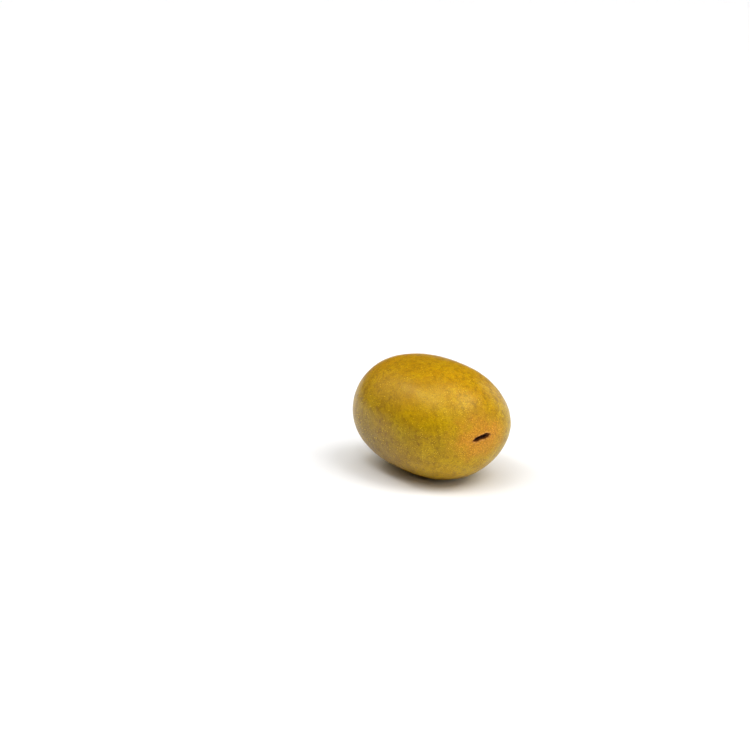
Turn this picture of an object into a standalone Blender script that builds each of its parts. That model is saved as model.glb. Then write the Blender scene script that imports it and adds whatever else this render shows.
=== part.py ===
"""A whole golden kiwi fruit, picked, lying on its side.

The fruit is one grown piece, so it is one closed solid: a plump, slightly
flattened barrel with blunt ends. Its long axis runs along X. The stem end, with
the slot that the stalk left, points to +X. The blossom end, with a shallow
dimple and the crust of the dried styles, points to -X. It rests on the small
flat spot on its underside, which lies in the plane z = 0, and the origin is the
centre of the bounding box's base. Lengths here are in millimetres until the
last step, which turns them into metres.
"""

import math

import bmesh
import bpy
from mathutils import Matrix, Vector

MM = 0.001

# ---- the body ---------------------------------------------------------------
LENGTH = 71.0            # along X, stem end to blossom end
WIDTH = 53.0             # along Y
HEIGHT = 47.3            # along Z, before the flat spot is pressed in
BLUNTNESS = 2.48         # 2 is an ellipsoid; more makes the ends and shoulders blunter
RINGS = 40               # meridian steps from end to end
AROUND = 64              # steps round the girth

# Gentle swellings and hollows of a grown fruit: which way from the centre,
# how wide (degrees), and how far the skin moves out (mm, negative is in).
SWELLINGS = (
    ((-0.64, -0.29, 0.71), 24.0, 0.25),    # top shoulder, blossom half
    ((-0.44, 0.18, 0.88), 22.0, -0.25),    # back of the top
    ((0.70, 0.70, 0.02), 20.0, 0.60),      # shoulder beside the stem end
    ((0.73, 0.40, -0.55), 20.0, -0.26),    # under that shoulder
    ((0.60, -0.05, -0.80), 22.0, 0.20),    # underside, stem half
    ((-0.66, -0.66, 0.35), 22.0, -0.20),   # front of the blossom half
    ((0.30, 0.57, 0.76), 24.0, 0.12),      # top shoulder, stem half
    ((-0.35, 0.90, -0.20), 26.0, -0.25),   # back flank
    ((0.15, 0.95, 0.25), 24.0, 0.20),
)

# ---- the resting spot -------------------------------------------------------
FLAT_DEPTH = 0.28        # how much of the underside is pressed flat
RIM_MERGE = 0.25         # points of its rim closer together than this become one

# ---- the stem end -----------------------------------------------------------
SLOT_LENGTH = 8.4        # along the slot
SLOT_WIDTH = 2.2         # across it
SLOT_DEPTH = 1.8         # below the skin
SLOT_TILT = 8.0          # degrees, rising towards +Y
SLOT_DROP = 0.2          # its middle sits this far below the fruit's axis
LIP_HEIGHT = 0.28        # the skin swells a little round the slot
LIP_REACH = 2.4          # how far out from the slot's edge the swelling fades

# ---- the blossom end --------------------------------------------------------
DIMPLE_RADIUS = 4.6
DIMPLE_DEPTH = 0.75
CRUST_RADIUS = 1.7       # the dried styles' crust, proud of the dimple's floor
CRUST_HEIGHT = 0.65


def unit(v):
    return Vector(v).normalized()


def slot_distance(y, z):
    """Distance in the end's plane from (y, z) to the slot's middle line."""
    t = math.radians(SLOT_TILT)
    dy, dz = y, z + SLOT_DROP
    along = dy * math.cos(t) + dz * math.sin(t)
    across = -dy * math.sin(t) + dz * math.cos(t)
    half = (SLOT_LENGTH - SLOT_WIDTH) / 2.0
    return math.hypot(max(abs(along) - half, 0.0), across)


def skin_point(d):
    """The skin's point in the direction d from the fruit's centre."""
    a, b, c = LENGTH / 2.0, WIDTH / 2.0, HEIGHT / 2.0
    ring = math.hypot(d.y, d.z)
    reach = (abs(d.x) ** BLUNTNESS + ring ** BLUNTNESS) ** (-1.0 / BLUNTNESS)
    p = Vector((d.x * reach * a, d.y * reach * b, d.z * reach * c))

    # the body's outward direction, from the gradient of its equation
    q = Vector((p.x / a, p.y / b, p.z / c))
    qr = math.hypot(q.y, q.z)
    out = Vector((math.copysign(abs(q.x) ** (BLUNTNESS - 1.0), q.x) / a,
                  qr ** (BLUNTNESS - 2.0) * q.y / b if qr > 0 else 0.0,
                  qr ** (BLUNTNESS - 2.0) * q.z / c if qr > 0 else 0.0)).normalized()

    push = 0.0
    for direction, spread, amount in SWELLINGS:
        angle = math.acos(max(-1.0, min(1.0, d.dot(unit(direction)))))
        push += amount * math.exp(-(angle / math.radians(spread)) ** 2)
    if d.x > 0.5:
        beyond = max(slot_distance(p.y, p.z) - SLOT_WIDTH / 2.0, 0.0)
        push += LIP_HEIGHT * math.exp(-(beyond / LIP_REACH) ** 2)
    if d.x < -0.5:
        r = math.hypot(p.y, p.z)
        push -= DIMPLE_DEPTH * math.exp(-(r / DIMPLE_RADIUS) ** 2)
        push += CRUST_HEIGHT * math.exp(-(r / CRUST_RADIUS) ** 4)
    return p + out * push


def ring_angles():
    """Meridian angles from the +X end to the -X end.

    The steps are finer at both ends, where the slot's lip and the dimple are.
    """
    fine = [2.0, 4.0, 6.2, 8.6, 11.2, 14.2]
    middle_steps = RINGS - 2 * len(fine)
    first, last = fine[-1], 180.0 - fine[-1]
    middle = [first + (last - first) * i / middle_steps for i in range(1, middle_steps)]
    return [math.radians(v) for v in fine + middle + [180.0 - v for v in reversed(fine)]]


def body_mesh():
    bm = bmesh.new()
    stem_pole = bm.verts.new(skin_point(Vector((1.0, 0.0, 0.0))))
    rings = []
    for u in ring_angles():
        ring = []
        for j in range(AROUND):
            v = 2.0 * math.pi * (j + 0.5) / AROUND
            ring.append(bm.verts.new(skin_point(Vector((
                math.cos(u), math.sin(u) * math.cos(v), math.sin(u) * math.sin(v))))))
        rings.append(ring)
    blossom_pole = bm.verts.new(skin_point(Vector((-1.0, 0.0, 0.0))))
    for j in range(AROUND):
        k = (j + 1) % AROUND
        bm.faces.new((stem_pole, rings[0][j], rings[0][k]))
        for inner, outer in zip(rings, rings[1:]):
            bm.faces.new((inner[j], outer[j], outer[k], inner[k]))
        bm.faces.new((rings[-1][j], blossom_pole, rings[-1][k]))

    # press the underside flat: cut the cap off and close the cut with one face
    bmesh.ops.triangulate(bm, faces=bm.faces)
    flat = min(v.co.z for v in bm.verts) + FLAT_DEPTH
    cut = bmesh.ops.bisect_plane(
        bm, geom=bm.verts[:] + bm.edges[:] + bm.faces[:], dist=1e-4,
        plane_co=(0.0, 0.0, flat), plane_no=(0.0, 0.0, -1.0), clear_outer=True)
    bmesh.ops.remove_doubles(
        bm, dist=RIM_MERGE,
        verts=[v for v in cut["geom_cut"] if isinstance(v, bmesh.types.BMVert)])
    rim = [e for e in bm.edges if e.is_boundary]
    bmesh.ops.contextual_create(bm, geom=rim)
    bmesh.ops.recalc_face_normals(bm, faces=bm.faces)
    return bm


def slot_cutter(centre):
    """A boat-shaped cutter whose middle plane lies on the skin."""
    bm = bmesh.new()
    bmesh.ops.create_uvsphere(bm, u_segments=20, v_segments=10, radius=1.0)
    for v in bm.verts:
        v.co = Vector((v.co.x * SLOT_DEPTH, v.co.y * SLOT_LENGTH / 2.0, v.co.z * SLOT_WIDTH / 2.0))
    bm.transform(Matrix.Translation(centre) @ Matrix.Rotation(math.radians(SLOT_TILT), 4, "X"))
    return bm


def to_object(bm, name, material=None):
    bm.transform(Matrix.Scale(MM, 4))
    mesh = bpy.data.meshes.new(name)
    bm.to_mesh(mesh)
    bm.free()
    ob = bpy.data.objects.new(name, mesh)
    bpy.context.scene.collection.objects.link(ob)
    if material is not None:
        mesh.materials.append(material)
    return ob


def skin_material():
    mat = bpy.data.materials.new("skin")
    mat.use_nodes = True
    shader = mat.node_tree.nodes["Principled BSDF"]
    shader.inputs["Base Color"].default_value = (0.42, 0.25, 0.045, 1.0)
    shader.inputs["Roughness"].default_value = 0.5
    shader.inputs["Metallic"].default_value = 0.0
    return mat


def main():
    for ob in list(bpy.data.objects):
        bpy.data.objects.remove(ob, do_unlink=True)

    bm = body_mesh()
    # put the origin at the centre of the box's base
    low = Vector([min(v.co[i] for v in bm.verts) for i in range(3)])
    high = Vector([max(v.co[i] for v in bm.verts) for i in range(3)])
    shift = Vector((-(low.x + high.x) / 2.0, -(low.y + high.y) / 2.0, -low.z))
    bm.transform(Matrix.Translation(shift))

    end = skin_point(Vector((1.0, 0.0, -SLOT_DROP / (LENGTH / 2.0))).normalized())
    cutter = to_object(slot_cutter(end + shift), "slot_cutter")
    cutter.hide_render = True
    cutter.display_type = "WIRE"

    fruit = to_object(bm, "kiwi_fruit", skin_material())
    cut = fruit.modifiers.new("stem_slot", "BOOLEAN")
    cut.operation = "DIFFERENCE"
    cut.solver = "EXACT"
    cut.object = cutter
    fruit.data.shade_smooth()
    fruit.data.set_sharp_from_angle(angle=math.radians(35.0))


main()
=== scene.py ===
import math
import random

import bmesh
import bpy
import numpy as np
from mathutils import Matrix, Vector, geometry, noise


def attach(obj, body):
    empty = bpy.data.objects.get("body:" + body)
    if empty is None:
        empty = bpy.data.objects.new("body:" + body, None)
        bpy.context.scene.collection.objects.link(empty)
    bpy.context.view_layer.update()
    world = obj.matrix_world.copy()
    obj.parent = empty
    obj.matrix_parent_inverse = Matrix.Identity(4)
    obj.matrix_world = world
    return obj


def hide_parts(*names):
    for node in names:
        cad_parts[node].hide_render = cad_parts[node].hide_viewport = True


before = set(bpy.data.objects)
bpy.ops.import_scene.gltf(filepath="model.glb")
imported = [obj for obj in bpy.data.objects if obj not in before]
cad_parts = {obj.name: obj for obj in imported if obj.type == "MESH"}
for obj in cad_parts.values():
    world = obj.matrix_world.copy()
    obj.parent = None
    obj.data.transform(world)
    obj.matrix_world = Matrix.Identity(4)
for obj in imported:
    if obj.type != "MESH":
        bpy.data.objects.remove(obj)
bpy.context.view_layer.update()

SEED = 41

# =============================================================================
# The fruit's form, in millimetres about the body's centre. The same body as the
# CAD solid, then carried on down to the skin's own relief.
# =============================================================================
A, B, C = 35.5, 26.5, 23.65
BLUNT = 2.48
SWELLINGS = (
    ((-0.64, -0.29, 0.71), 24.0, 0.25),
    ((-0.44, 0.18, 0.88), 22.0, -0.25),
    ((0.70, 0.70, 0.02), 20.0, 0.60),
    ((0.73, 0.40, -0.55), 20.0, -0.26),
    ((0.60, -0.05, -0.80), 22.0, 0.20),
    ((-0.66, -0.66, 0.35), 22.0, -0.20),
    ((0.30, 0.57, 0.76), 24.0, 0.12),
    ((-0.35, 0.90, -0.20), 26.0, -0.25),
    ((0.15, 0.95, 0.25), 24.0, 0.20),
)
FLAT_DEPTH = 0.28
SLOT_LENGTH, SLOT_WIDTH, SLOT_DEPTH = 8.4, 2.2, 1.8
SLOT_TILT, SLOT_DROP = math.radians(8.0), 0.2
LIP_HEIGHT, LIP_REACH = 0.28, 2.4
DIMPLE_RADIUS, DIMPLE_DEPTH = 4.6, 0.75
CRUST_RADIUS, CRUST_HEIGHT = 1.7, 0.65


def smooth(lo, hi, x):
    t = np.clip((x - lo) / (hi - lo), 0.0, 1.0)
    return t * t * (3.0 - 2.0 * t)


def field(p, size, offset, octaves=1):
    """Noise at points p (mm) with features about size mm across, -1 to 1."""
    q = p / size + np.array(offset, float)
    out = np.zeros(len(q))
    gain, step = 1.0, 1.0
    for _ in range(octaves):
        out += gain * np.array([noise.noise(v) for v in (q * step).tolist()])
        gain, step = gain * 0.5, step * 2.03
    return out


def body(d):
    """Points and outward normals of the plain body in the unit directions d."""
    size = np.array([A, B, C])
    ring = np.hypot(d[:, 1], d[:, 2])
    reach = (np.abs(d[:, 0]) ** BLUNT + ring ** BLUNT) ** (-1.0 / BLUNT)
    p = d * reach[:, None] * size
    q = p / size
    qr = np.hypot(q[:, 1], q[:, 2])
    g = np.stack([np.sign(q[:, 0]) * np.abs(q[:, 0]) ** (BLUNT - 1.0) / A,
                  qr ** (BLUNT - 2.0) * q[:, 1] / B,
                  qr ** (BLUNT - 2.0) * q[:, 2] / C], 1)
    return p, g / np.linalg.norm(g, axis=1, keepdims=True)


def swell(d):
    push = np.zeros(len(d))
    for direction, spread, amount in SWELLINGS:
        u = np.array(direction) / np.linalg.norm(direction)
        angle = np.arccos(np.clip(d @ u, -1.0, 1.0))
        push += amount * np.exp(-(angle / math.radians(spread)) ** 2)
    return push


def slot_axes(p):
    """Where p lies along and across the stem slot, as seen on the end."""
    dy, dz = p[:, 1], p[:, 2] + SLOT_DROP
    return (dy * math.cos(SLOT_TILT) + dz * math.sin(SLOT_TILT),
            -dy * math.sin(SLOT_TILT) + dz * math.cos(SLOT_TILT))


def plain_distance(p):
    """Distance to the plain slot's edge, as the CAD solid has it."""
    along, across = slot_axes(p)
    half = (SLOT_LENGTH - SLOT_WIDTH) / 2.0
    return np.hypot(np.maximum(np.abs(along) - half, 0.0), across) - SLOT_WIDTH / 2.0


def slot_edge(p):
    """Distance outside the real slot's edge: a narrow, slightly crooked slit with
    blunt ends, fullest past the middle."""
    along, across = slot_axes(p)
    half = SLOT_LENGTH / 2.0
    s = along / half
    middle = 0.17 * np.sin(2.3 * s + 0.5) - 0.05
    width = 0.5 * SLOT_WIDTH * np.sqrt(np.clip(1.0 - np.abs(s) ** 3.0, 0.0, 1.0)) * (0.93 + 0.07 * s - 0.09 * np.cos(5.2 * s + 0.3))
    inside = np.abs(across - middle) - width
    tip = np.hypot(np.abs(along) - half, across - middle)
    return np.where(np.abs(s) < 1.0, inside, tip)


def cad_skin(d):
    """The CAD solid's skin, for placing everything else."""
    p, n = body(d)
    push = swell(d)
    beyond = np.maximum(plain_distance(p), 0.0)
    push += np.where(d[:, 0] > 0.5, LIP_HEIGHT * np.exp(-(beyond / LIP_REACH) ** 2), 0.0)
    r = np.hypot(p[:, 1], p[:, 2])
    ends = -DIMPLE_DEPTH * np.exp(-(r / DIMPLE_RADIUS) ** 2) + CRUST_HEIGHT * np.exp(-(r / CRUST_RADIUS) ** 4)
    push += np.where(d[:, 0] < -0.5, ends, 0.0)
    return p + n * push[:, None]


def body_shift():
    """From the body's centre to the row's origin, the centre of the box's base."""
    fine = [2.0, 4.0, 6.2, 8.6, 11.2, 14.2]
    first, last, steps = 14.2, 180.0 - 14.2, 28
    u = np.radians(fine + [first + (last - first) * i / steps for i in range(1, steps)]
                   + [180.0 - v for v in reversed(fine)])
    v = 2.0 * np.pi * (np.arange(64) + 0.5) / 64
    uu, vv = np.meshgrid(u, v, indexing="ij")
    d = np.stack([np.cos(uu), np.sin(uu) * np.cos(vv), np.sin(uu) * np.sin(vv)], -1).reshape(-1, 3)
    d = np.concatenate([d, [[1.0, 0.0, 0.0], [-1.0, 0.0, 0.0]]])
    p = cad_skin(d)
    low, high = p.min(0), p.max(0)
    return np.array([-(low[0] + high[0]) / 2, -(low[1] + high[1]) / 2, -(low[2] + FLAT_DEPTH)])


SHIFT = body_shift()
GLOSS_CHEEK = np.array([0.50, -0.60, 0.62]) / np.linalg.norm([0.50, -0.60, 0.62])  # the cheek where the gloss band falls: smoother skin, and its colour calmed as painted highlight wash

# =============================================================================
# Where the lenticels are: scattered like the real ones, never on a grid, and
# closer together at both ends, where the relief is finer too.
# =============================================================================


def spacing(p):
    """The least distance between neighbouring points at p, mm."""
    gap = np.full(len(p), 1.03)
    edge = slot_edge(p)
    stem = p[:, 0] > 15.0
    gap = np.where(stem, np.minimum(gap, 0.67 + 0.36 * smooth(4.0, 13.0, edge)), gap)
    gap = np.where(stem, np.minimum(gap, 0.305 + 0.365 * smooth(0.5, 2.8, edge)), gap)
    r = np.hypot(p[:, 1], p[:, 2])
    blossom = p[:, 0] < -15.0
    gap = np.where(blossom, np.minimum(gap, 0.67 + 0.36 * smooth(4.8, 11.5, r)), gap)
    gap = np.where(blossom, np.minimum(gap, 0.305 + 0.365 * smooth(1.9, 4.1, r)), gap)
    return gap


def scatter():
    """Unit directions of scattered points whose places on the skin keep their
    spacing."""
    rng = np.random.default_rng(SEED)
    d = rng.normal(size=(150000, 3))
    ends = rng.normal(size=(26000, 3)) * np.array([0.0, 0.22, 0.22]) + np.array([1.0, 0.0, 0.0])
    ends[13000:, 0] = -1.0
    ends[13000:, 1:] *= 0.7
    d = np.concatenate([d, ends])
    d /= np.linalg.norm(d, axis=1, keepdims=True)
    rng.shuffle(d)
    p, _ = body(d)
    gap = spacing(p)
    cell = 1.04
    keys = np.floor(p / cell).astype(int)
    grid = {}
    kept = []
    around = [(i, j, k) for i in (-1, 0, 1) for j in (-1, 0, 1) for k in (-1, 0, 1)]
    # the last triangle fan closes on the point at the very bottom
    bottom = np.array([[0.0, 0.0, -1.0]])
    pb = body(bottom)[0][0]
    grid[tuple(np.floor(pb / cell).astype(int).tolist())] = [tuple(pb.tolist())]
    points = p.tolist()
    for index, (point, key, g) in enumerate(zip(points, keys.tolist(), gap.tolist())):
        g2 = g * g
        x, y, z = point
        clear = True
        for a, b, c in around:
            near = grid.get((key[0] + a, key[1] + b, key[2] + c))
            if near:
                for q in near:
                    if (x - q[0]) ** 2 + (y - q[1]) ** 2 + (z - q[2]) ** 2 < g2:
                        clear = False
                        break
                if not clear:
                    break
        if clear:
            grid.setdefault(tuple(key), []).append((x, y, z))
            kept.append(index)
    return np.concatenate([d[kept], bottom])


def triangulate(d):
    """Triangles over the scattered directions. The last one is the bottom, which
    the flat map from below sends to infinity, so it closes the fan."""
    n = len(d) - 1
    flat = d[:n, :2] / (1.0 + d[:n, 2:3])
    out = geometry.delaunay_2d_cdt([Vector(v) for v in flat.tolist()], [], [], 0, 1e-9, True)
    verts, _, faces, source = out[0], out[1], out[2], out[3]
    back = [s[0] if s else -1 for s in source]
    tris = [[back[i] for i in f] for f in faces]
    tris = [t for t in tris if -1 not in t and len(set(t)) == 3]
    seen = {}
    for t in tris:
        for i in range(3):
            seen[(t[i], t[(i + 1) % 3])] = True
    rim = [(a, b) for a, b in seen if (b, a) not in seen]
    tris += [[b, a, n] for a, b in rim]
    # better-shaped triangles on the real surface
    p = body(d)[0]
    bm = bmesh.new()
    vs = [bm.verts.new(v) for v in p.tolist()]
    for t in tris:
        bm.faces.new([vs[i] for i in t])
    bmesh.ops.beautify_fill(bm, faces=bm.faces[:], edges=bm.edges[:], method="ANGLE")
    bm.verts.index_update()
    tris = np.array([[v.index for v in f.verts] for f in bm.faces])
    bm.free()
    # all faces out
    q = p[tris]
    normal = np.cross(q[:, 1] - q[:, 0], q[:, 2] - q[:, 0])
    back_facing = (normal * q.mean(1)).sum(1) < 0
    tris[back_facing] = tris[back_facing][:, ::-1]
    return tris


def refine(d, tris):
    """Each point becomes a lenticel: a middle, a ring of points round it, and
    shared points in the skin between."""
    rng = np.random.default_rng(SEED + 1)
    n = len(d)
    p = body(d)[0]
    gap = spacing(p)
    corner = np.concatenate([tris[:, [0, 1]], tris[:, [1, 2]], tris[:, [2, 0]]])
    low, high = corner.min(1), corner.max(1)
    code, inverse = np.unique(low.astype(np.int64) * n + high, return_inverse=True)
    i, j = (code // n).astype(int), (code % n).astype(int)
    edges = len(code)
    length = np.linalg.norm(p[i] - p[j], axis=1)

    size = rng.lognormal(math.log(0.275), 0.24, n).clip(0.15, 0.42)
    size = np.minimum(size, gap * 0.40)
    ti = np.clip(size[i] * rng.uniform(0.82, 1.18, edges) / length, 0.08, 0.44)
    tj = np.clip(size[j] * rng.uniform(0.82, 1.18, edges) / length, 0.08, 0.44)
    ring_i = d[i] * (1 - ti)[:, None] + d[j] * ti[:, None]
    ring_j = d[j] * (1 - tj)[:, None] + d[i] * tj[:, None]
    middle = d[tris].mean(1)
    all_d = np.concatenate([d, ring_i, ring_j, middle])
    all_d /= np.linalg.norm(all_d, axis=1, keepdims=True)

    f = len(tris)
    eid = inverse.reshape(3, f)  # edge ids of ab, bc, ca

    def near(vertex, edge):
        return np.where(i[edge] == vertex, n + edge, n + edges + edge)

    a, b, c = tris[:, 0], tris[:, 1], tris[:, 2]
    ab, bc, ca = eid
    a_b, b_a = near(a, ab), near(b, ab)
    b_c, c_b = near(b, bc), near(c, bc)
    c_a, a_c = near(c, ca), near(a, ca)
    m = n + 2 * edges + np.arange(f)
    faces = np.concatenate([
        np.stack(t, 1) for t in (
            (a, a_b, a_c), (b, b_c, b_a), (c, c_a, c_b),
            (m, a_b, b_a), (m, b_a, b_c), (m, b_c, c_b),
            (m, c_b, c_a), (m, c_a, a_c), (m, a_c, a_b))])
    # plain and bold ones in loose drifts, as on a real skin
    drifts = smooth(-0.35, 0.40, field(p, 3.4, (4.4, 1.9, 6.1), 2))
    prominence = (0.25 + 0.75 * rng.random(n) ** 1.2) * (0.42 + 0.58 * drifts)
    prominence[rng.random(n) < 0.12] = 0.06
    raised = np.concatenate([prominence, 0.40 * prominence[i], 0.40 * prominence[j], np.zeros(f)])
    mark = np.concatenate([prominence, np.zeros(2 * edges + f)])
    broad = np.concatenate([size, size[i], size[j], np.zeros(f)])
    return all_d, faces, raised, mark, broad


def relief(d, raised, mark, broad):
    """The finished skin: points in mm about the body's centre, and the masks that
    the finish reads."""
    p, n = body(d)
    x, r = p[:, 0], np.hypot(p[:, 1], p[:, 2])
    edge = slot_edge(p)
    stem = d[:, 0] > 0.45
    blossom = d[:, 0] < -0.45
    push = swell(d)

    # a grown skin is never quite fair: broad unevenness, then finer
    push += 0.15 * field(p, 11.0, (3.1, 7.7, 1.3))
    push += 0.050 * field(p, 4.2, (9.2, 0.4, 5.5))
    push += 0.016 * field(p * np.array([0.55, 1.0, 1.0]), 1.5, (2.2, 8.1, 4.9), 2)

    # ---- stem end
    ragged = field(p, 0.75, (5.0, 1.0, 9.0), 2)
    e = edge + 0.20 * ragged + 0.14 * field(p, 1.8, (1.0, 4.0, 2.0))
    along, across = slot_axes(p)
    turn = np.arctan2(across * 2.2, along)
    lip = LIP_HEIGHT * np.exp(-(np.maximum(plain_distance(p), 0.0) / LIP_REACH) ** 2)
    pucker = np.exp(-np.maximum(e, 0.0) / 1.7) * smooth(-0.2, 0.4, e)
    folds = np.sin(turn * 11.0 + 2.2 * field(p, 2.6, (7.0, 3.0, 6.0))) * 0.5 + np.sin(turn * 23.0 + 1.0) * 0.22
    rim = np.exp(-((e - 0.22) / 0.26) ** 2)
    # deepest in the middle, and shallow and brown towards both ends
    deep = 0.34 + 0.66 * smooth(1.0, 0.45, np.abs(along / (0.5 * SLOT_LENGTH) - 0.08))
    pit = smooth(0.08, -0.40, e)
    inside = 0.20 * field(p * np.array([1.0, 0.6, 1.5]), 0.6, (0.0, 2.0, 8.0), 2)
    push += np.where(stem, lip + 0.085 * folds * pucker + rim * (0.16 + 0.17 * ragged)
                     - pit * (SLOT_DEPTH * deep + inside), 0.0)
    russet = np.where(stem, 1.0 - smooth(0.5, 12.5, edge + 2.4 * field(p, 4.0, (4.0, 4.0, 1.0), 2)), 0.0)

    # ---- blossom end
    spiral = np.arctan2(p[:, 2], p[:, 1])
    fuzz = field(p, 0.8, (6.0, 6.0, 3.0), 2)
    rb = r + 0.30 * fuzz + 0.35 * field(p, 2.0, (3.0, 9.0, 3.0))
    bed = -DIMPLE_DEPTH * np.exp(-(r / DIMPLE_RADIUS) ** 2)
    crust = smooth(CRUST_RADIUS + 0.45, CRUST_RADIUS - 0.55, rb)
    star = np.sin(spiral * 13.0 + 2.0 * field(p, 2.4, (2.0, 1.0, 8.0))) * np.exp(-((r - 2.9) / 1.5) ** 2)
    push += np.where(blossom, bed + 0.07 * star + crust * (0.34 + 0.26 * field(p, 0.55, (8.0, 1.0, 2.0), 2))
                     + 0.14 * np.exp(-((rb - 2.15) / 0.35) ** 2), 0.0)
    russet = np.where(blossom, 0.8 * (1.0 - smooth(1.6, 6.0, r + 1.6 * field(p, 2.4, (1.0, 7.0, 3.0), 2))), russet)
    crust = np.where(blossom, crust, 0.0)
    pit = np.where(stem, pit * deep, 0.0)
    rim = np.where(stem, rim * (1.0 - pit), 0.0)
    rim = np.where(blossom, np.exp(-((rb - 2.15) / 0.40) ** 2), rim)

    # ---- the lenticels, low corky domes; rougher and taller where it is russet
    quiet = 1.0 - np.clip(pit * 1.5 + crust * 1.5 + rim, 0.0, 1.0)
    gloss_cheek = np.exp(-(np.arccos(np.clip(d @ GLOSS_CHEEK, -1.0, 1.0)) / 0.62) ** 2)
    # on the cheek the lenticels are lower, and their colour is fainter as painted highlight wash
    quiet *= 1.0 - 0.45 * gloss_cheek
    push += raised * quiet * np.clip(broad, 0.14, 0.34) * 0.19 * (1.0 + 0.9 * russet)
    push += russet * 0.035 * field(p, 0.5, (3.0, 3.0, 7.0), 2)

    q = p + n * push[:, None] + SHIFT
    k = 0.05  # pressed flat where it rests
    q[:, 2] = 0.5 * (q[:, 2] + np.sqrt(q[:, 2] ** 2 + k * k))
    # painted shade: a darker, browner lower-left flank, standing in for shadow that falls there
    shaded_flank = np.array([-0.15, -0.90, -0.40]) / np.linalg.norm([-0.15, -0.90, -0.40])
    shade = np.exp(-(np.arccos(np.clip(d @ shaded_flank, -1.0, 1.0)) / 0.76) ** 2)
    shade = np.clip(shade + 0.12 * field(p, 9.0, (2.0, 6.0, 4.0), 2), 0.0, 1.0)
    return q, {"lenticel": mark * quiet, "russet": russet, "pit": pit, "rim": rim, "crust": crust, "shade": shade, "gloss_cheek": gloss_cheek}


def mesh_object(name, points_mm, faces, masks=None):
    mesh = bpy.data.meshes.new(name)
    mesh.vertices.add(len(points_mm))
    mesh.vertices.foreach_set("co", (points_mm * 0.001).astype(np.float32).ravel())
    mesh.loops.add(len(faces) * 3)
    mesh.polygons.add(len(faces))
    mesh.polygons.foreach_set("loop_start", np.arange(0, len(faces) * 3, 3, dtype=np.int32))
    mesh.loops.foreach_set("vertex_index", faces.astype(np.int32).ravel())
    mesh.update(calc_edges=True)
    mesh.validate()
    mesh.shade_smooth()
    for key, values in (masks or {}).items():
        layer = mesh.attributes.new(key, "FLOAT", "POINT")
        layer.data.foreach_set("value", values.astype(np.float32))
    ob = bpy.data.objects.new(name, mesh)
    bpy.context.scene.collection.objects.link(ob)
    return ob


directions = scatter()
triangles = triangulate(directions)
fine_d, fine_faces, raised, mark, broad = refine(directions, triangles)
skin_points, skin_masks = relief(fine_d, raised, mark, broad)
skin = mesh_object("fruit_skin", skin_points, fine_faces, skin_masks)
print("skin: base points", len(directions), "vertices", len(skin_points), "triangles", len(fine_faces))


# =============================================================================
# The dried styles at the blossom end: short brown bristles in the crust.
# =============================================================================
def bristle(origin, direction, length, thick, bend, sides=6, rings=6):
    """One tapered, slightly bent bristle as points and triangles, closed."""
    direction = direction / np.linalg.norm(direction)
    side = np.cross(direction, [0.3, 0.5, 0.81])
    side /= np.linalg.norm(side)
    other = np.cross(direction, side)
    points, faces = [], []
    for k in range(rings):
        t = k / rings
        centre = origin + direction * length * t + bend * (t * t)
        radius = thick * (1.0 - 0.72 * t) * (1.0 + 0.12 * math.sin(9.0 * t + origin[1] * 5.0))
        for s in range(sides):
            a = 2.0 * math.pi * s / sides
            points.append(centre + radius * (math.cos(a) * side + math.sin(a) * other))
    tip = len(points)
    points.append(origin + direction * length + bend)
    foot = len(points)
    points.append(origin - direction * 0.05)
    for k in range(rings - 1):
        for s in range(sides):
            a0, a1 = k * sides + s, k * sides + (s + 1) % sides
            b0, b1 = a0 + sides, a1 + sides
            faces += [(a0, a1, b1), (a0, b1, b0)]
    for s in range(sides):
        a0, a1 = (rings - 1) * sides + s, (rings - 1) * sides + (s + 1) % sides
        faces.append((a0, a1, tip))
        faces.append(((s + 1) % sides, s, foot))
    return np.array(points), np.array(faces)


def style_bristles():
    rng = random.Random(SEED)
    points, faces, total = [], [], 0
    tries = []
    for k in range(34):
        ring = 0.25 + 1.35 * math.sqrt((k + 0.5) / 34.0)
        angle = k * 2.399963 + rng.uniform(-0.25, 0.25)
        tries.append((ring, angle))
    for ring, angle in tries:
        y, z = ring * math.cos(angle), ring * math.sin(angle)
        d = np.array([[-1.0, y / A * 1.35, z / A * 1.35]])
        d /= np.linalg.norm(d)
        x = cad_skin(d)[0][0]
        origin = np.array([x + 0.30, y, z]) + SHIFT
        splay = 0.35 + 0.75 * ring / 1.6
        direction = np.array([-1.0, splay * math.cos(angle) + rng.uniform(-0.35, 0.35),
                              splay * math.sin(angle) + rng.uniform(-0.35, 0.35)])
        length = rng.uniform(0.75, 1.45)
        bend = np.array([rng.uniform(-0.05, 0.25), rng.uniform(-0.25, 0.25), rng.uniform(-0.35, 0.15)])
        p, f = bristle(origin, direction, length, rng.uniform(0.085, 0.14), bend)
        points.append(p)
        faces.append(f + total)
        total += len(p)
    return mesh_object("style_bristles", np.concatenate(points), np.concatenate(faces))


styles = style_bristles()


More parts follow.
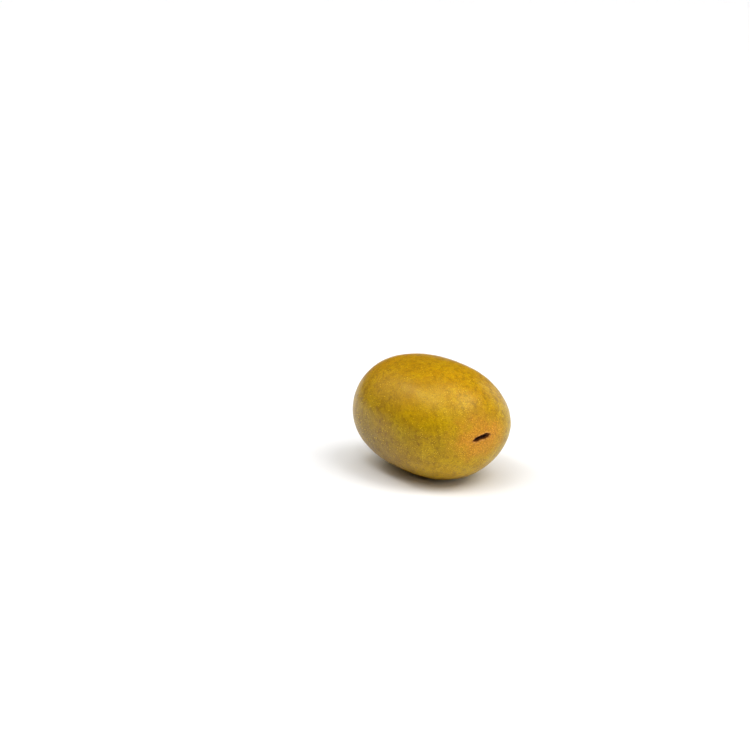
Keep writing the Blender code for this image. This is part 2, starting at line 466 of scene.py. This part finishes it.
# =============================================================================
# The torn strands in the stem slot: what is left of the stalk's fibres.
# =============================================================================
def slot_strands():
    rng = random.Random(SEED + 5)
    points, faces, total = [], [], 0
    for k in range(46):
        s = -0.80 + 1.62 * (k + rng.uniform(0.1, 0.9)) / 46.0
        along, across = s * SLOT_LENGTH / 2.0, rng.uniform(-0.50, 0.50) * (1.0 - 0.55 * abs(s))
        y = along * math.cos(SLOT_TILT) - across * math.sin(SLOT_TILT)
        z = along * math.sin(SLOT_TILT) + across * math.cos(SLOT_TILT) - SLOT_DROP
        d = np.array([[1.0, y / B, z / C]])
        d /= np.linalg.norm(d)
        p, out = body(d)
        depth = SLOT_DEPTH * (0.34 + 0.66 * max(0.0, 1.0 - max(0.0, abs(s - 0.08) - 0.45) / 0.55) ** 1.4)
        origin = p[0] - out[0] * (depth + 0.10) + SHIFT
        lean = np.array([0.0, rng.uniform(-0.75, 0.75), rng.uniform(-0.30, 0.30)])
        length = depth * rng.uniform(0.45, 0.85)
        bend = np.array([0.0, rng.uniform(-0.25, 0.25), rng.uniform(-0.18, 0.18)])
        q, f = bristle(origin, out[0] + lean, length, rng.uniform(0.07, 0.13), bend, sides=5, rings=5)
        points.append(q)
        faces.append(f + total)
        total += len(q)
    return mesh_object("slot_strands", np.concatenate(points), np.concatenate(faces))


strands = slot_strands()


# =============================================================================
# Finishes
# =============================================================================
class Nodes:
    """Small helpers for laying out a material's nodes."""

    def __init__(self, name):
        self.mat = bpy.data.materials.new(name)
        self.mat.use_nodes = True
        self.tree = self.mat.node_tree
        self.shader = self.tree.nodes["Principled BSDF"]
        self.coord = self.tree.nodes.new("ShaderNodeTexCoord").outputs["Object"]

    def new(self, kind, **props):
        node = self.tree.nodes.new(kind)
        for key, value in props.items():
            setattr(node, key, value)
        return node

    def put(self, socket, value):
        if hasattr(value, "is_output"):
            self.tree.links.new(value, socket)
        else:
            socket.default_value = value

    def math(self, op, a, b=0.0, c=0.0, clamp=False):
        node = self.new("ShaderNodeMath", operation=op, use_clamp=clamp)
        for socket, value in zip(node.inputs, (a, b, c)):
            self.put(socket, value)
        return node.outputs[0]

    def scaled(self, xyz):
        node = self.new("ShaderNodeVectorMath", operation="MULTIPLY")
        self.put(node.inputs[0], self.coord)
        node.inputs[1].default_value = xyz
        return node.outputs[0]

    def noise(self, scale, detail=2.0, rough=0.5, vector=None, distortion=0.0):
        node = self.new("ShaderNodeTexNoise")
        self.put(node.inputs["Vector"], vector or self.coord)
        node.inputs["Scale"].default_value = scale
        node.inputs["Detail"].default_value = detail
        node.inputs["Roughness"].default_value = rough
        node.inputs["Distortion"].default_value = distortion
        return node.outputs["Fac"]

    def cells(self, scale, feature="F1", randomness=1.0, vector=None):
        node = self.new("ShaderNodeTexVoronoi", feature=feature)
        self.put(node.inputs["Vector"], vector or self.coord)
        node.inputs["Scale"].default_value = scale
        node.inputs["Randomness"].default_value = randomness
        return node.outputs["Distance"], node.outputs["Color"]

    def ramp(self, value, lo, hi, out_lo=0.0, out_hi=1.0):
        node = self.new("ShaderNodeMapRange", interpolation_type="SMOOTHSTEP")
        self.put(node.inputs["Value"], value)
        for key, number in (("From Min", lo), ("From Max", hi), ("To Min", out_lo), ("To Max", out_hi)):
            node.inputs[key].default_value = number
        return node.outputs["Result"]

    def mix(self, factor, a, b, blend="MIX"):
        node = self.new("ShaderNodeMix", data_type="RGBA", blend_type=blend)
        self.put(node.inputs["Factor"], factor)
        self.put(node.inputs["A"], a if hasattr(a, "is_output") else (*a, 1.0))
        self.put(node.inputs["B"], b if hasattr(b, "is_output") else (*b, 1.0))
        return node.outputs["Result"]

    def attribute(self, name):
        return self.new("ShaderNodeAttribute", attribute_name=name).outputs["Fac"]

    def bump(self, height, distance, strength=1.0, normal=None):
        node = self.new("ShaderNodeBump")
        node.inputs["Strength"].default_value = strength
        node.inputs["Distance"].default_value = distance
        self.put(node.inputs["Height"], height)
        if normal:
            self.put(node.inputs["Normal"], normal)
        return node.outputs["Normal"]


def srgb(r, g, b):
    """A colour given as 0 to 255 screen values, as linear light."""
    out = []
    for v in (r, g, b):
        v /= 255.0
        out.append(v / 12.92 if v <= 0.04045 else ((v + 0.055) / 1.055) ** 2.4)
    return tuple(out)


def skin_finish():
    n = Nodes("kiwi_skin")
    lenticel, russet, shade = n.attribute("lenticel"), n.attribute("russet"), n.attribute("shade")
    pit, rim, crust = n.attribute("pit"), n.attribute("rim"), n.attribute("crust")
    busy_off_gloss = n.math("SUBTRACT", 1.0, n.math("MULTIPLY", n.math("POWER", n.attribute("gloss_cheek"), 2.2), 0.68))  # painted highlight wash: mottling and grain are toned down on the cheek where the gloss band falls

    separate = n.new("ShaderNodeSeparateXYZ")
    n.put(separate.inputs[0], n.coord)
    height = n.ramp(separate.outputs["Z"], 0.022, 0.042)

    amber, olive = srgb(194, 138, 3), srgb(177, 149, 3)
    drift = n.noise(34.0, 2.0, 0.5)
    upper = n.math("ADD", n.math("MULTIPLY", height, 0.80), n.math("MULTIPLY", n.ramp(drift, 0.38, 0.64), 0.40), clamp=True)
    colour = n.mix(upper, olive, amber)

    # clouding and faint streaks along the fruit
    cloud = n.noise(170.0, 4.0, 0.55)
    colour = n.mix(n.ramp(cloud, 0.42, 0.72, 0.0, 0.42), colour, srgb(160, 116, 2))
    colour = n.mix(n.ramp(cloud, 0.56, 0.28, 0.0, 0.30), colour, srgb(206, 170, 4))
    streak = n.noise(1.0, 3.0, 0.6, vector=n.scaled((70.0, 420.0, 420.0)))
    colour = n.mix(n.ramp(streak, 0.50, 0.80, 0.0, 0.25), colour, srgb(146, 102, 2))

    # mottling between the lenticels, then a finer grain
    mottle = n.noise(520.0, 2.0, 0.55)
    # busy_off_gloss tones these marks down on the cheek: painted highlight wash
    colour = n.mix(n.math("MULTIPLY", n.ramp(mottle, 0.50, 0.68, 0.0, 0.70), busy_off_gloss), colour, srgb(142, 102, 1))
    colour = n.mix(n.math("MULTIPLY", n.ramp(mottle, 0.46, 0.30, 0.0, 0.50), busy_off_gloss), colour, srgb(210, 172, 6))
    grain = n.noise(1500.0, 3.0, 0.6)
    colour = n.mix(n.math("MULTIPLY", n.ramp(grain, 0.46, 0.70, 0.0, 0.64), busy_off_gloss), colour, srgb(132, 94, 1))

    # painted shade: the shade mask darkens and browns the lower-left flank
    colour = n.mix(n.math("MULTIPLY", shade, 0.90), colour, (0.50, 0.42, 0.40), blend="MULTIPLY")

    # russeting at the ends, an orange cork in fine stipples
    stipple = n.noise(1300.0, 3.0, 0.6)
    cork = n.mix(n.ramp(stipple, 0.36, 0.66), srgb(212, 139, 34), srgb(172, 100, 20))
    colour = n.mix(n.math("MULTIPLY", russet, 0.80), colour, cork)

    # lenticels: pale corky dots, each with a darker foot
    foot = n.math("MULTIPLY", n.ramp(lenticel, 0.0, 0.05), n.ramp(lenticel, 0.20, 0.09))
    colour = n.mix(n.math("MULTIPLY", foot, 0.55), colour, srgb(112, 76, 1))
    tone = n.noise(420.0, 1.0, 0.5)
    dot = n.mix(tone, srgb(234, 198, 52), srgb(222, 180, 24))
    dot = n.mix(n.math("MULTIPLY", russet, 0.75), dot, srgb(234, 172, 60))
    colour = n.mix(n.ramp(lenticel, 0.07, 0.26, 0.0, 0.92), colour, dot)
    tiny, _ = n.cells(1450.0)
    colour = n.mix(n.ramp(tiny, 0.26, 0.12, 0.0, 0.38), colour, srgb(218, 176, 14))
    freckle, _ = n.cells(1150.0)
    colour = n.mix(n.math("MULTIPLY", n.ramp(freckle, 0.42, 0.18), n.math("MULTIPLY", russet, 0.60)), colour, srgb(228, 162, 50))

    # odd pin-prick marks
    speck, pick = n.cells(330.0)
    chosen = n.new("ShaderNodeSeparateColor")
    n.put(chosen.inputs[0], pick)
    mark = n.math("MULTIPLY", n.ramp(speck, 0.10, 0.055), n.ramp(chosen.outputs[0], 0.80, 0.84))
    colour = n.mix(n.math("MULTIPLY", mark, 0.7), colour, srgb(92, 50, 12))

    # corky rims, the pit and the crust
    colour = n.mix(n.math("MULTIPLY", rim, 0.75), colour, n.mix(n.ramp(stipple, 0.35, 0.65), srgb(208, 150, 82), srgb(138, 82, 36)))
    colour = n.mix(n.ramp(crust, 0.15, 0.75), colour, n.mix(n.ramp(stipple, 0.35, 0.65), srgb(112, 66, 30), srgb(44, 24, 14)))
    fibre = n.noise(1.0, 3.0, 0.6, vector=n.scaled((1500.0, 420.0, 1500.0)))
    colour = n.mix(n.ramp(pit, 0.03, 0.26), colour, n.mix(n.ramp(fibre, 0.38, 0.62), srgb(126, 72, 26), srgb(84, 40, 14)))
    colour = n.mix(n.ramp(pit, 0.42, 0.86), colour, n.mix(n.ramp(fibre, 0.35, 0.65), srgb(70, 18, 14), srgb(36, 6, 10)))
    n.put(n.shader.inputs["Base Color"], colour)

    rough = n.math("ADD", 0.28, n.math("MULTIPLY", cloud, 0.14))
    rough = n.math("ADD", rough, n.math("MULTIPLY", n.ramp(lenticel, 0.1, 0.5), 0.12))
    rough = n.math("ADD", rough, n.math("MULTIPLY", russet, 0.16))
    rough = n.math("ADD", rough, n.math("MULTIPLY", n.math("ADD", pit, n.math("ADD", rim, crust), clamp=True), 0.25), clamp=True)
    n.put(n.shader.inputs["Roughness"], rough)

    normal = n.bump(grain, 0.00006, 0.55)
    normal = n.bump(mottle, 0.00012, 0.5, normal)
    rough_places = n.math("MULTIPLY", stipple, n.math("ADD", russet, n.math("ADD", crust, pit), clamp=True))
    normal = n.bump(rough_places, 0.00020, 0.6, normal)
    n.put(n.shader.inputs["Normal"], normal)

    n.shader.inputs["IOR"].default_value = 1.45
    n.shader.inputs["Specular IOR Level"].default_value = 0.38
    n.shader.inputs["Specular Tint"].default_value = (1.0, 0.98, 0.50, 1.0)
    n.shader.inputs["Subsurface Weight"].default_value = 0.08
    n.shader.inputs["Subsurface Radius"].default_value = (1.0, 0.55, 0.12)
    n.shader.inputs["Subsurface Scale"].default_value = 0.0012
    return n.mat


def bristle_finish():
    n = Nodes("dried_style")
    tone = n.noise(700.0, 3.0, 0.6)
    n.put(n.shader.inputs["Base Color"], n.mix(n.ramp(tone, 0.35, 0.65), srgb(70, 40, 20), srgb(140, 92, 48)))
    n.put(n.shader.inputs["Roughness"], n.ramp(tone, 0.2, 0.8, 0.6, 0.85))
    n.put(n.shader.inputs["Normal"], n.bump(n.noise(2500.0, 2.0, 0.5), 0.00004, 0.5))
    return n.mat


skin.data.materials.append(skin_finish())
dried = bristle_finish()
styles.data.materials.append(dried)
strands.data.materials.append(dried)

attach(skin, "root")
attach(styles, "root")
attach(strands, "root")
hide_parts("kiwi_fruit")

# =============================================================================
# The plain stage, the light and the camera
# =============================================================================
scene = bpy.context.scene
scene.view_settings.view_transform = "Standard"
scene.view_settings.look = "None"

floor_mesh = bpy.data.meshes.new("floor")
bm = bmesh.new()
bmesh.ops.create_grid(bm, x_segments=2, y_segments=2, size=6.0)
bm.to_mesh(floor_mesh)
bm.free()
floor = bpy.data.objects.new("floor", floor_mesh)
scene.collection.objects.link(floor)
floor_finish = Nodes("floor_paper")
paper = floor_finish.noise(60.0, 3.0, 0.5)
floor_finish.put(floor_finish.shader.inputs["Base Color"],
                 floor_finish.mix(paper, (0.925, 0.925, 0.925), (0.94, 0.94, 0.94)))
floor_finish.shader.inputs["Roughness"].default_value = 0.9
floor_finish.shader.inputs["Specular IOR Level"].default_value = 0.0
floor_mesh.materials.append(floor_finish.mat)

world = bpy.data.worlds.new("studio")
scene.world = world
world.use_nodes = True
sky = world.node_tree
background = sky.nodes["Background"]
background.inputs["Color"].default_value = (1.0, 1.0, 1.0, 1.0)
background.inputs["Strength"].default_value = 0.04
# the studio's white wall, seen behind the floor's edge
wall = sky.nodes.new("ShaderNodeBackground")
wall.inputs["Color"].default_value = (1.0, 1.0, 1.0, 1.0)
wall.inputs["Strength"].default_value = 0.95
seen = sky.nodes.new("ShaderNodeLightPath")
pick = sky.nodes.new("ShaderNodeMixShader")
sky.links.new(seen.outputs["Is Camera Ray"], pick.inputs[0])
sky.links.new(background.outputs[0], pick.inputs[1])
sky.links.new(wall.outputs[0], pick.inputs[2])
sky.links.new(pick.outputs[0], sky.nodes["World Output"].inputs["Surface"])

AZIMUTH, ELEVATION = math.radians(55.44), math.radians(16.5)
DISTANCE = 0.9
right = Vector((math.cos(AZIMUTH), math.sin(AZIMUTH), 0.0))
toward = Vector((math.sin(AZIMUTH) * math.cos(ELEVATION), -math.cos(AZIMUTH) * math.cos(ELEVATION), math.sin(ELEVATION)))
up = toward.cross(right)
centre = Vector(SHIFT.tolist()) * 0.001


def softbox(name, place, aim, size, power, colour=(1.0, 1.0, 1.0)):
    data = bpy.data.lights.new(name, "AREA")
    data.shape = "RECTANGLE"
    data.size, data.size_y = size
    data.energy = power
    data.color = colour
    ob = bpy.data.objects.new(name, data)
    scene.collection.objects.link(ob)
    ob.location = place
    ob.rotation_euler = (Vector(aim) - Vector(place)).to_track_quat("-Z", "Y").to_euler()
    return ob


# a long strip over the fruit, for the band of gloss along its shoulder
strip_place = centre + (up * 0.74 + toward * 0.44 - right * 0.34).normalized() * 1.1
softbox("overhead_strip", strip_place, centre, (2.0, 0.20), 5.0)

# the studio's broad soft light: degrees round from the camera, height, strength
ahead = Vector((toward.x, toward.y, 0.0)).normalized()
for name, turn, rise, strength in (
        ("key", 66.0, 54.0, 0.56), ("overhead", 0.0, 89.0, 0.25), ("top_left", 292.0, 62.0, 0.14),
        ("back_left", 247.0, 38.0, 0.10), ("front", 22.0, 38.0, 0.10), ("low_right", 60.0, 12.0, 0.16),
        ("low_back", 135.0, 12.0, 0.12)):
    turn, rise = math.radians(turn), math.radians(rise)
    way = (ahead * math.cos(turn) + right * math.sin(turn)) * math.cos(rise) + Vector((0.0, 0.0, math.sin(rise)))
    data = bpy.data.lights.new(name, "SUN")
    data.energy = strength * math.pi
    data.angle = math.radians(40.0)
    lamp = bpy.data.objects.new(name, data)
    scene.collection.objects.link(lamp)
    lamp.rotation_euler = way.to_track_quat("Z", "Y").to_euler()

camera_data = bpy.data.cameras.new("camera")
camera_data.sensor_width = 36.0
camera_data.lens = 106.8
camera_data.clip_start = 0.05
camera_data.clip_end = 30.0
camera = bpy.data.objects.new("camera", camera_data)
scene.collection.objects.link(camera)
camera.location = centre + toward * DISTANCE
aim = centre - right * 0.02235 + up * 0.01618
camera.rotation_euler = (aim - camera.location).to_track_quat("-Z", "Y").to_euler()
scene.camera = camera
